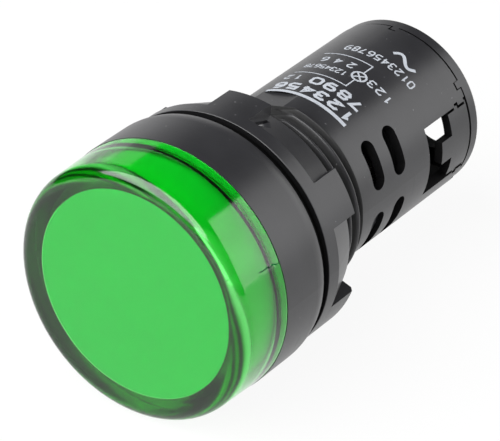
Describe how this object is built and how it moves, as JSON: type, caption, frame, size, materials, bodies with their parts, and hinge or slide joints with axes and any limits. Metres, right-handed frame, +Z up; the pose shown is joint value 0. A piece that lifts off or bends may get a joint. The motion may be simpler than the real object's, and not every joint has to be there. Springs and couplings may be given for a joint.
{
  "type": "panel pilot light",
  "caption": "Round green pilot light for a 22 mm panel hole: flat clear lens, bezel, gasket, threaded neck with nut, vented tube, and a rear cover over two screw terminals.",
  "frame": {"origin": "on the light's axis, at the bezel's rear face, which seats on the panel", "axes": "+Y along the axis towards the rear cover, so the lens faces -Y; +Z up; +X to the side with one screw terminal"},
  "size_m": [0.029, 0.0504, 0.029],
  "materials": {
    "green_lens": "clear green, polished",
    "diffuser": "milky green, matte",
    "black_moulding": "satin black",
    "gasket": "matte black",
    "board": "green solder mask",
    "lamp": "clear epoxy",
    "nickel": "nickel plated",
    "brass": "bright",
    "film_case": "yellow box",
    "can": "sleeved can",
    "rectifier": "black epoxy",
    "resistor": "lacquered"
  },
  "bodies": {
    "light": {"lens_cap": "green_lens", "diffuser": "diffuser", "housing": "black_moulding", "rear_cover": "black_moulding", "terminal_block": "black_moulding", "led_board": "board", "driver_board": "board", "led_1": "lamp", "led_2": "lamp", "led_3": "lamp", "led_4": "lamp", "led_5": "lamp", "led_6": "lamp", "link_pin_1": "nickel", "link_pin_2": "nickel", "terminal_plate_1": "brass", "terminal_plate_2": "brass", "film_capacitor": "film_case", "filter_capacitor": "can", "bridge_rectifier": "rectifier", "dropper_resistor": "resistor", "bleed_resistor": "resistor"},
    "gasket": {"panel_gasket": "gasket"},
    "nut": {"mounting_nut": "black_moulding"},
    "washer_1": {"clamp_washer_1": "nickel"},
    "washer_2": {"clamp_washer_2": "nickel"},
    "screw_1": {"terminal_screw_1": "nickel"},
    "screw_2": {"terminal_screw_2": "nickel"}
  },
  "joints": [
    {"name": "gasket_slide", "type": "slide", "parent": "light", "child": "gasket", "axis": [0, 1, 0], "range_m": [0, 0.009]},
    {"name": "nut_turn", "type": "hinge", "parent": "gasket", "child": "nut", "pos_m": [0, 0, 0], "axis": [0, 1, 0], "range_deg": [0, 2160]},
    {"name": "washer_1_lift", "type": "slide", "parent": "light", "child": "washer_1", "axis": [0, 1, 0], "range_m": [0, 0.002]},
    {"name": "screw_1_turn", "type": "hinge", "parent": "washer_1", "child": "screw_1", "pos_m": [-0.0048, 0.0265, 0], "axis": [0, 1, 0], "range_deg": [0, 1440]},
    {"name": "washer_2_lift", "type": "slide", "parent": "light", "child": "washer_2", "axis": [0, 1, 0], "range_m": [0, 0.002]},
    {"name": "screw_2_turn", "type": "hinge", "parent": "washer_2", "child": "screw_2", "pos_m": [0.0048, 0.0265, 0], "axis": [0, 1, 0], "range_deg": [0, 1440]}
  ],
  "couplings": [
    {"joint": "nut_turn", "follows": "gasket_slide", "rad_per_m": 4188.8},
    {"joint": "screw_1_turn", "follows": "washer_1_lift", "rad_per_m": 12566},
    {"joint": "screw_2_turn", "follows": "washer_2_lift", "rad_per_m": 12566}
  ]
}
